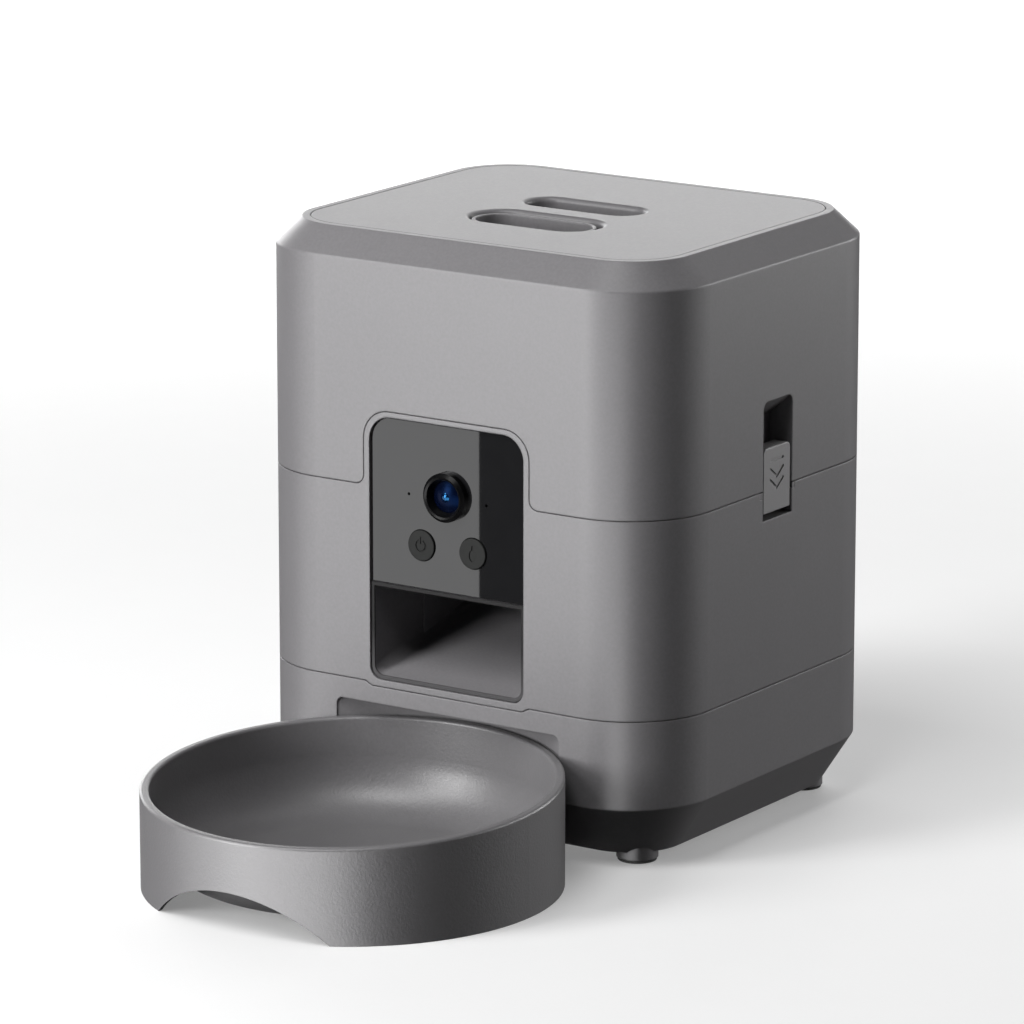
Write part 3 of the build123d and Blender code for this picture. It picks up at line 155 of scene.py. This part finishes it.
def multiplied(tree, colour, level):
    """The colour multiplied by a second colour or by a grey level."""
    node = tree.nodes.new("ShaderNodeMix")
    node.data_type = "RGBA"
    node.blend_type = "MULTIPLY"
    node.inputs["Factor"].default_value = 1.0
    tree.links.new(colour, node.inputs["A"])
    tree.links.new(level, node.inputs["B"])
    return node.outputs["Result"]


def bump(tree, height, depth, normal=None):
    """The normal of a surface that height raises by up to depth millimetres."""
    node = tree.nodes.new("ShaderNodeBump")
    node.inputs["Strength"].default_value = 1.0
    node.inputs["Distance"].default_value = depth * MM
    tree.links.new(height, node.inputs["Height"])
    if normal is not None:
        tree.links.new(normal, node.inputs["Normal"])
    return node.outputs["Normal"]


def softened(tree, radius):
    """The normal with edges rounded by radius millimetres, as moulded edges are."""
    node = tree.nodes.new("ShaderNodeBevel")
    node.samples = BEVEL_SAMPLES
    node.inputs["Radius"].default_value = radius * MM
    return node.outputs["Normal"]


def moulded(name, colour, rough, grain=0.35, grain_height=0.02, mottle=0.06, clouds=0.03, specular=0.5,
            edge=0.45):
    """Moulded plastic: a fine spark-eroded grain, small mottling and broad faint clouds.

    grain is the width of one grain, grain_height its depth and edge the rounding of the
    edges, all in millimetres. mottle and clouds are the shares by which the colour varies
    from patch to patch."""
    material, tree, shader = new_material(name)
    where = object_coordinates(tree)
    fine = noise(tree, where, 1.0 / (grain * MM), detail=3.0, roughness=0.6)
    small = noise(tree, where, MOTTLE_SCALE, detail=3.0, roughness=0.6)
    broad = noise(tree, where, CLOUD_SCALE)
    speckle = ramp(tree, small, scaled(colour, 1.0 - mottle), scaled(colour, 1.0 + mottle))
    cloud = ramp(tree, broad, (1.0 - clouds,) * 3, (1.0,) * 3)
    tree.links.new(multiplied(tree, speckle, cloud), shader.inputs["Base Color"])
    roughness = spread(tree, small, rough - ROUGH_VARIATION, rough + ROUGH_VARIATION)
    tree.links.new(roughness, shader.inputs["Roughness"])
    rounded = softened(tree, edge)
    tree.links.new(bump(tree, fine, grain_height, rounded), shader.inputs["Normal"])
    shader.inputs["Specular IOR Level"].default_value = specular
    return material


def paint_lip_shade(material, front_y, lip, low_z, high_z):
    """Paints shade on the foremost lip of a moulded piece by darkening its colour, more so from low_z
    up to high_z.
    """
    tree = material.node_tree
    shader = tree.nodes["Principled BSDF"]
    colour = shader.inputs["Base Color"].links[0].from_socket
    # Painted shade: the colour is darkened near the front face, more so higher up.
    split = tree.nodes.new("ShaderNodeSeparateXYZ")
    tree.links.new(object_coordinates(tree), split.inputs["Vector"])
    fade_y = (front_y + lip, front_y + lip * LIP_SHADE_FADE)
    behind_lip = map_range(tree, split.outputs["Y"], fade_y, (0.0, 1.0))
    lip_levels = (LIP_SHADE_LEVEL_LOW, LIP_SHADE_LEVEL_HIGH)
    lip_level = map_range(tree, split.outputs["Z"], (low_z, high_z), lip_levels)
    level = tree.nodes.new("ShaderNodeMix")
    tree.links.new(behind_lip, level.inputs["Factor"])
    tree.links.new(lip_level, level.inputs["A"])
    level.inputs["B"].default_value = 1.0
    tree.links.new(multiplied(tree, colour, level.outputs["Result"]), shader.inputs["Base Color"])


def glossy(name, colour, rough, dust=0.03, wave=0.002, specular=0.5, tint=(1.0, 1.0, 1.0)):
    """Polished plastic or glass: nearly smooth, with a faint waviness and fine dust in the gloss.

    dust is how much rougher the dustiest spots are, wave the waviness in millimetres, and
    tint the colour of the reflection, as an anti-reflection coating gives it."""
    material, tree, shader = new_material(name)
    where = object_coordinates(tree)
    waves = noise(tree, where, WAVE_SCALE, detail=1.0)
    specks = noise(tree, where, DUST_SCALE)
    tinge = noise(tree, where, TINGE_SCALE)
    base = ramp(tree, tinge, scaled(colour, TINGE_DARKEST), colour)
    tree.links.new(base, shader.inputs["Base Color"])
    tree.links.new(spread(tree, specks, rough, rough + dust), shader.inputs["Roughness"])
    tree.links.new(bump(tree, waves, wave), shader.inputs["Normal"])
    shader.inputs["Specular IOR Level"].default_value = specular
    shader.inputs["Specular Tint"].default_value = (*tint, 1.0)
    return material


def metal(name, colour, rough):
    """Turned or rolled metal with fine directional scratches."""
    material, tree, shader = new_material(name)
    where = object_coordinates(tree)
    stretch = tree.nodes.new("ShaderNodeMapping")
    stretch.inputs["Scale"].default_value = (1.0, SCRATCH_STRETCH, 1.0)
    tree.links.new(where, stretch.inputs["Vector"])
    lines = noise(tree, stretch.outputs["Vector"], SCRATCH_SCALE, detail=3.0, roughness=0.6)
    base = ramp(tree, lines, scaled(colour, SCRATCH_DARKEST), colour)
    tree.links.new(base, shader.inputs["Base Color"])
    roughness = spread(tree, lines, rough + SCRATCH_SMOOTHEST, rough + SCRATCH_ROUGHEST)
    tree.links.new(roughness, shader.inputs["Roughness"])
    tree.links.new(bump(tree, lines, SCRATCH_DEPTH), shader.inputs["Normal"])
    shader.inputs["Metallic"].default_value = 1.0
    return material


SHELL_GREY = (0.184, 0.179, 0.186)
BOWL_GREY = (0.160, 0.156, 0.1615)

materials = {
    "shell": moulded("shell", SHELL_GREY, 0.40, edge=0.9),
    "lid_shell": moulded("lid_shell", SHELL_GREY, 0.40, edge=0.6),
    "bowl": moulded("bowl", BOWL_GREY, 0.42, grain=1.25, grain_height=0.11, mottle=0.05, specular=0.95),
    "latch": moulded("latch", (0.275, 0.270, 0.276), 0.42, grain_height=0.008, mottle=0.02),
    "panel": glossy("panel", (0.012, 0.012, 0.013), 0.01, dust=0.012, wave=0.0004),
    "button": moulded("button", (0.014, 0.0145, 0.014), 0.55, grain_height=0.008, specular=0.12),
    "camera_black": glossy("camera_black", (0.003, 0.003, 0.0033), 0.28, specular=0.14),
    "lens": glossy("lens", (0.0012, 0.0025, 0.011), 0.26, specular=0.09, tint=(0.04, 0.25, 1.0)),
    "inner_plastic": moulded("inner_plastic", (0.13, 0.13, 0.132), 0.5),
    "hopper_inner": moulded("hopper_inner", (0.22, 0.22, 0.222), 0.32, grain_height=0.004),
    "rotor_plastic": moulded("rotor_plastic", (0.5, 0.5, 0.48), 0.4),
    "gear_plastic": moulded("gear_plastic", (0.62, 0.61, 0.57), 0.38),
    "rubber": moulded("rubber", (0.018, 0.018, 0.018), 0.75, grain=0.6, mottle=0.15),
    "silicone": moulded("silicone", (0.28, 0.28, 0.28), 0.55, grain_height=0.006),
    "steel": metal("steel", (0.56, 0.56, 0.57), 0.30),
    "bronze": metal("bronze", (0.62, 0.42, 0.22), 0.35),
    "board": moulded("board", (0.01, 0.085, 0.035), 0.35, mottle=0.2),
    "chip": moulded("chip", (0.02, 0.02, 0.022), 0.45, mottle=0.1),
    "contact": metal("contact", (0.75, 0.74, 0.70), 0.25),
}

# ---------------------------------------------------------------- CAD nodes
CHUTE_LIP_SHADE = 0.0006        # how far back from its front the chute's lip is painted dark as shade
CHUTE_LIP_SHADE_LOW_Z = 0.078   # the lip's painted shade darkens upwards between these two heights
CHUTE_LIP_SHADE_HIGH_Z = 0.1

for node in nodes.values():
    for slot in node.material_slots:
        slot_name = slot.material.name.split(".")[0] if slot.material else None
        if slot_name in materials:
            slot.material = materials[slot_name]

# The chute's material carries painted shade on its lip, where the window's gap shades it, darker higher
# up.
chute_front_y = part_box("chute")[0][1]
chute_plastic_painted_shade = moulded("chute_plastic_painted_shade", SHELL_GREY, 0.55, specular=0.15)
paint_lip_shade(chute_plastic_painted_shade, chute_front_y, CHUTE_LIP_SHADE, CHUTE_LIP_SHADE_LOW_Z, CHUTE_LIP_SHADE_HIGH_Z)
for slot in nodes["chute"].material_slots:
    slot.material = chute_plastic_painted_shade

# ---------------------------------------------------------------- camera glass
LENS_ELEMENT_R = 0.0034
LENS_ELEMENT_SAG = 0.0013     # how far its rim lies behind its tip
LENS_ELEMENT_PROUD = 0.0004   # how far its tip stands in front of the CAD lens
DOME_RINGS = 10
DOME_STEPS = 48


def domed_disc(name, centre, radius, sag):
    """A shallow dome facing -Y with its tip at centre, its rim closed by a flat back."""
    shape = bmesh.new()
    loops = []
    for ring in range(1, DOME_RINGS + 1):
        share = ring / DOME_RINGS
        y = centre.y + sag * share ** 2
        loop = []
        for step in range(DOME_STEPS):
            angle = 2.0 * math.pi * step / DOME_STEPS
            x = centre.x + radius * share * math.cos(angle)
            z = centre.z + radius * share * math.sin(angle)
            loop.append(shape.verts.new((x, y, z)))
        loops.append(loop)
    tip = shape.verts.new(centre)
    for step in range(DOME_STEPS):
        shape.faces.new((tip, loops[0][step], loops[0][(step + 1) % DOME_STEPS]))
    for inner, outer in zip(loops, loops[1:]):
        for step in range(DOME_STEPS):
            after = (step + 1) % DOME_STEPS
            shape.faces.new((inner[step], outer[step], outer[after], inner[after]))
    for face in shape.faces:
        face.smooth = True
    shape.faces.new(list(reversed(loops[-1])))
    bmesh.ops.recalc_face_normals(shape, faces=list(shape.faces))
    mesh = bpy.data.meshes.new(name)
    shape.to_mesh(mesh)
    shape.free()
    piece = bpy.data.objects.new(name, mesh)
    scene.collection.objects.link(piece)
    return piece


lens_low, lens_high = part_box("camera_lens")
lens_centre = Vector((
    (lens_low[0] + lens_high[0]) / 2,
    lens_low[1] - LENS_ELEMENT_PROUD,
    (lens_low[2] + lens_high[2]) / 2,
))
lens_element = domed_disc("lens_element", lens_centre, LENS_ELEMENT_R, LENS_ELEMENT_SAG)
lens_element.data.materials.append(
    glossy("lens_coating", (0.001, 0.004, 0.02), 0.13, specular=1.0, tint=(0.06, 0.42, 1.0)))
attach(lens_element, "root")

# ---------------------------------------------------------------- stage
WHITE = (1.0, 1.0, 1.0, 1.0)
BLACK = (0.0, 0.0, 0.0, 1.0)
FLOOR_WHITE = (0.74, 0.74, 0.74)
FLOOR_HALF = 14.0
FLOOR_NEAR = 0.6          # inside this radius the lamps light the floor, beyond FLOOR_FAR it glows
FLOOR_FAR = 3.2
FLOOR_GLOW_NEAR = 0.21
FLOOR_GLOW_FAR = 0.98

floor_mesh = bpy.data.meshes.new("floor")
floor_bmesh = bmesh.new()
bmesh.ops.create_grid(floor_bmesh, x_segments=4, y_segments=4, size=FLOOR_HALF)
floor_bmesh.to_mesh(floor_mesh)
floor_bmesh.free()
floor = bpy.data.objects.new("floor", floor_mesh)
scene.collection.objects.link(floor)
floor_material = moulded(
    "floor", FLOOR_WHITE, 0.8, grain=2.0, mottle=0.01, clouds=0.01, specular=0.1)
floor.data.materials.append(floor_material)
floor.visible_diffuse = False
floor.visible_glossy = False

# The floor's own glow grows with the distance from the object.
floor_tree = floor_material.node_tree
floor_shader = floor_tree.nodes["Principled BSDF"]
floor_shader.inputs["Emission Color"].default_value = WHITE
from_centre = floor_tree.nodes.new("ShaderNodeVectorMath")
from_centre.operation = "LENGTH"
floor_tree.links.new(object_coordinates(floor_tree), from_centre.inputs[0])
glow = map_range(floor_tree, from_centre.outputs["Value"], (FLOOR_NEAR, FLOOR_FAR),
                 (FLOOR_GLOW_NEAR, FLOOR_GLOW_FAR))
glow.node.interpolation_type = "SMOOTHSTEP"
floor_tree.links.new(glow, floor_shader.inputs["Emission Strength"])


# ---------------------------------------------------------------- reflection cards
# Cards that only reflections see: the bright floor in front of the object, and the dark gap
# beside it that the glossy control panel shows on its right.
PANEL_LIGHT_TO_X = 0.018  # the panel mirrors the bright floor up to here, and the gap beyond
GAP_Y = -0.45
GAP_RADIANCE = 0.05
CARD_MARGIN = 0.012
GLOW_Y = -1.2
GLOW_X = (-2.4, -0.7, 0.75)    # the left card's left edge, the edge the two share, the right edge
GLOW_Z = (-0.9, 0.02)
GLOW_RADIANCE = 2.6
GLOW_RIGHT_RADIANCE = 5.6


def reflection_card(name, y, x_range, z_range, radiance):
    """An upright glowing rectangle at y, seen by reflections only."""
    mesh = bpy.data.meshes.new(name)
    x0, x1 = x_range
    z0, z1 = z_range
    mesh.from_pydata([(x0, y, z0), (x1, y, z0), (x1, y, z1), (x0, y, z1)], [], [(0, 1, 2, 3)])
    material, _, shader = new_material(name)
    shader.inputs["Base Color"].default_value = BLACK
    shader.inputs["Specular IOR Level"].default_value = 0.0
    shader.inputs["Emission Color"].default_value = WHITE
    shader.inputs["Emission Strength"].default_value = radiance
    material.cycles.emission_sampling = "NONE"
    mesh.materials.append(material)
    card = bpy.data.objects.new(name, mesh)
    scene.collection.objects.link(card)
    card.visible_camera = False
    card.visible_diffuse = False
    card.visible_shadow = False
    card.visible_transmission = False


def mirrored(point, y):
    """Where the line of sight to a point of a front face, once mirrored there, reaches y."""
    sight = point - camera.location
    share = (point.y - y) / sight.y
    return point + Vector((sight.x, -sight.y, sight.z)) * share


panel_low, panel_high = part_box("control_panel")
gap_from = mirrored(Vector((PANEL_LIGHT_TO_X, panel_low[1], panel_low[2])), GAP_Y)
gap_to = mirrored(Vector((panel_high[0], panel_low[1], panel_high[2])), GAP_Y)
reflection_card("panel_gap", GAP_Y, (gap_from.x, gap_to.x + CARD_MARGIN),
                (gap_from.z - CARD_MARGIN, gap_to.z + CARD_MARGIN), GAP_RADIANCE)
reflection_card("floor_glow", GLOW_Y, GLOW_X[:2], GLOW_Z, GLOW_RADIANCE)
reflection_card("floor_glow_right", GLOW_Y, GLOW_X[1:], GLOW_Z, GLOW_RIGHT_RADIANCE)

# ---------------------------------------------------------------- lamps
WORLD_STRENGTH = 0.02

# name: azimuth and elevation in degrees, distance, width and height in metres, radiance
LIGHTS = {
    "key": (-24.0, 4.0, 1.5, 0.5, 0.8, 16.4),
    "key_high": (-30.0, 34.0, 1.5, 0.5, 0.5, 11.0),
    "overhead": (0.0, 62.0, 2.6, 1.3, 1.1, 6.6),
    "right": (120.0, 8.0, 2.6, 1.3, 1.1, 3.2),
    "back_right": (150.0, 8.0, 2.6, 1.3, 1.1, 6.0),
    "back_left": (-150.0, 8.0, 2.6, 1.3, 1.1, 3.3),
    "left": (-120.0, 8.0, 2.6, 1.3, 1.1, 5.9),
    "back_top": (-170.0, 40.0, 2.6, 1.3, 1.1, 2.0),
}

for name, (azimuth, elevation, distance, width, height, radiance) in LIGHTS.items():
    light = bpy.data.lights.new(name, "AREA")
    light.shape = "RECTANGLE"
    light.size = width
    light.size_y = height
    light.energy = radiance * width * height * math.pi
    light_object = bpy.data.objects.new(name, light)
    scene.collection.objects.link(light_object)
    light_object.visible_camera = False
    towards = direction(math.radians(azimuth), math.radians(elevation))
    light_object.location = CAMERA_TARGET + distance * towards
    aim(light_object, CAMERA_TARGET)

world = bpy.data.worlds.new("studio")
scene.world = world
world.use_nodes = True
background = world.node_tree.nodes["Background"]
background.inputs["Color"].default_value = WHITE
background.inputs["Strength"].default_value = WORLD_STRENGTH
